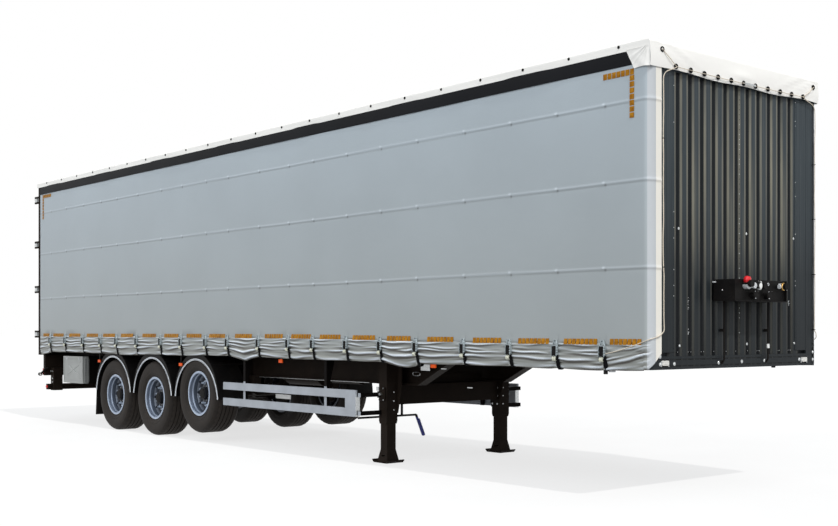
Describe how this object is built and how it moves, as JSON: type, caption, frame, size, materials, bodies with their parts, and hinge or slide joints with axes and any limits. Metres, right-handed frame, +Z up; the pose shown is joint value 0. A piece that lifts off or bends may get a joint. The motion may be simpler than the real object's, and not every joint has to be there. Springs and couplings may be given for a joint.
{
  "type": "three-axle curtain-sided semi trailer",
  "caption": "Three-axle curtain-sided semi trailer with turning wheels, hinged rear door leaves, a kingpin under its gooseneck and lowered landing legs.",
  "frame": {"origin": "on the ground, at the centre of the whole trailer's box", "axes": "+X towards the front wall, +Y to the trailer's left, +Z up"},
  "size_m": [14.07, 2.55, 4],
  "materials": {
    "black_plastic": "black moulded plastic",
    "chassis_paint": "satin black chassis paint",
    "deck_wood": "phenolic-coated plywood",
    "door_paint": "light grey paint",
    "front_wall": "anthracite paint",
    "galvanised": "bare aluminium",
    "lamp_amber": "amber lens",
    "lamp_red": "red lens",
    "lamp_white": "clear lens",
    "rim_paint": "silver wheel paint",
    "rubber": "black rubber",
    "steel": "zinc-plated steel",
    "tarpaulin_grey": "silver-grey coated tarpaulin",
    "tarpaulin_white": "white coated tarpaulin",
    "tyre": "black tyre rubber"
  },
  "bodies": {
    "chassis": {"air_springs": "rubber", "air_tanks": "chassis_paint", "axle_front": "chassis_paint", "axle_middle": "chassis_paint", "axle_rear": "chassis_paint", "cant_rails": "galvanised", "coupler_plate": "chassis_paint", "cross_members": "chassis_paint", "curtain_left": "tarpaulin_grey", "curtain_right": "tarpaulin_grey", "floor_deck": "deck_wood", "front_frame": "front_wall", "front_markers": "lamp_white", "front_panel": "front_wall", "hangers": "chassis_paint", "kingpin": "steel", "landing_brace": "chassis_paint", "landing_crank": "steel", "landing_leg_left": "chassis_paint", "landing_leg_right": "chassis_paint", "main_beams": "chassis_paint", "mudflaps": "rubber", "mudguards_left": "black_plastic", "mudguards_right": "black_plastic", "rear_frame": "chassis_paint", "rear_lamps": "lamp_red", "roof_bows": "galvanised", "roof_cover": "tarpaulin_white", "service_box": "black_plastic", "service_lines": "steel", "side_guard_left": "galvanised", "side_guard_right": "galvanised", "side_markers": "lamp_amber", "side_posts": "galvanised", "side_rails": "chassis_paint", "toolbox": "galvanised", "underrun_guard": "chassis_paint"},
    "wheel_front_right": {"tyre_front_right": "tyre", "rim_front_right": "rim_paint"},
    "wheel_front_left": {"tyre_front_left": "tyre", "rim_front_left": "rim_paint"},
    "wheel_middle_right": {"tyre_middle_right": "tyre", "rim_middle_right": "rim_paint"},
    "wheel_middle_left": {"tyre_middle_left": "tyre", "rim_middle_left": "rim_paint"},
    "wheel_rear_right": {"tyre_rear_right": "tyre", "rim_rear_right": "rim_paint"},
    "wheel_rear_left": {"tyre_rear_left": "tyre", "rim_rear_left": "rim_paint"},
    "door_right": {"door_right": "door_paint", "door_bars_right": "steel"},
    "door_left": {"door_left": "door_paint", "door_bars_left": "steel"}
  },
  "joints": [
    {"name": "wheel_front_right_spin", "type": "hinge", "parent": "chassis", "child": "wheel_front_right", "pos_m": [-1.355, -1.0425, 0.65], "axis": [0, 1, 0], "continuous": true},
    {"name": "wheel_front_left_spin", "type": "hinge", "parent": "chassis", "child": "wheel_front_left", "pos_m": [-1.355, 1.0425, 0.65], "axis": [0, 1, 0], "continuous": true},
    {"name": "wheel_middle_right_spin", "type": "hinge", "parent": "chassis", "child": "wheel_middle_right", "pos_m": [-2.665, -1.0425, 0.535], "axis": [0, 1, 0], "continuous": true},
    {"name": "wheel_middle_left_spin", "type": "hinge", "parent": "chassis", "child": "wheel_middle_left", "pos_m": [-2.665, 1.0425, 0.535], "axis": [0, 1, 0], "continuous": true},
    {"name": "wheel_rear_right_spin", "type": "hinge", "parent": "chassis", "child": "wheel_rear_right", "pos_m": [-3.975, -1.0425, 0.535], "axis": [0, 1, 0], "continuous": true},
    {"name": "wheel_rear_left_spin", "type": "hinge", "parent": "chassis", "child": "wheel_rear_left", "pos_m": [-3.975, 1.0425, 0.535], "axis": [0, 1, 0], "continuous": true},
    {"name": "door_right_hinge", "type": "hinge", "parent": "chassis", "child": "door_right", "pos_m": [-7.02, -1.26, 2.5], "axis": [0, 0, 1], "range_deg": [0, 270]},
    {"name": "door_left_hinge", "type": "hinge", "parent": "chassis", "child": "door_left", "pos_m": [-7.02, 1.26, 2.5], "axis": [0, 0, 1], "range_deg": [-270, 0]}
  ]
}
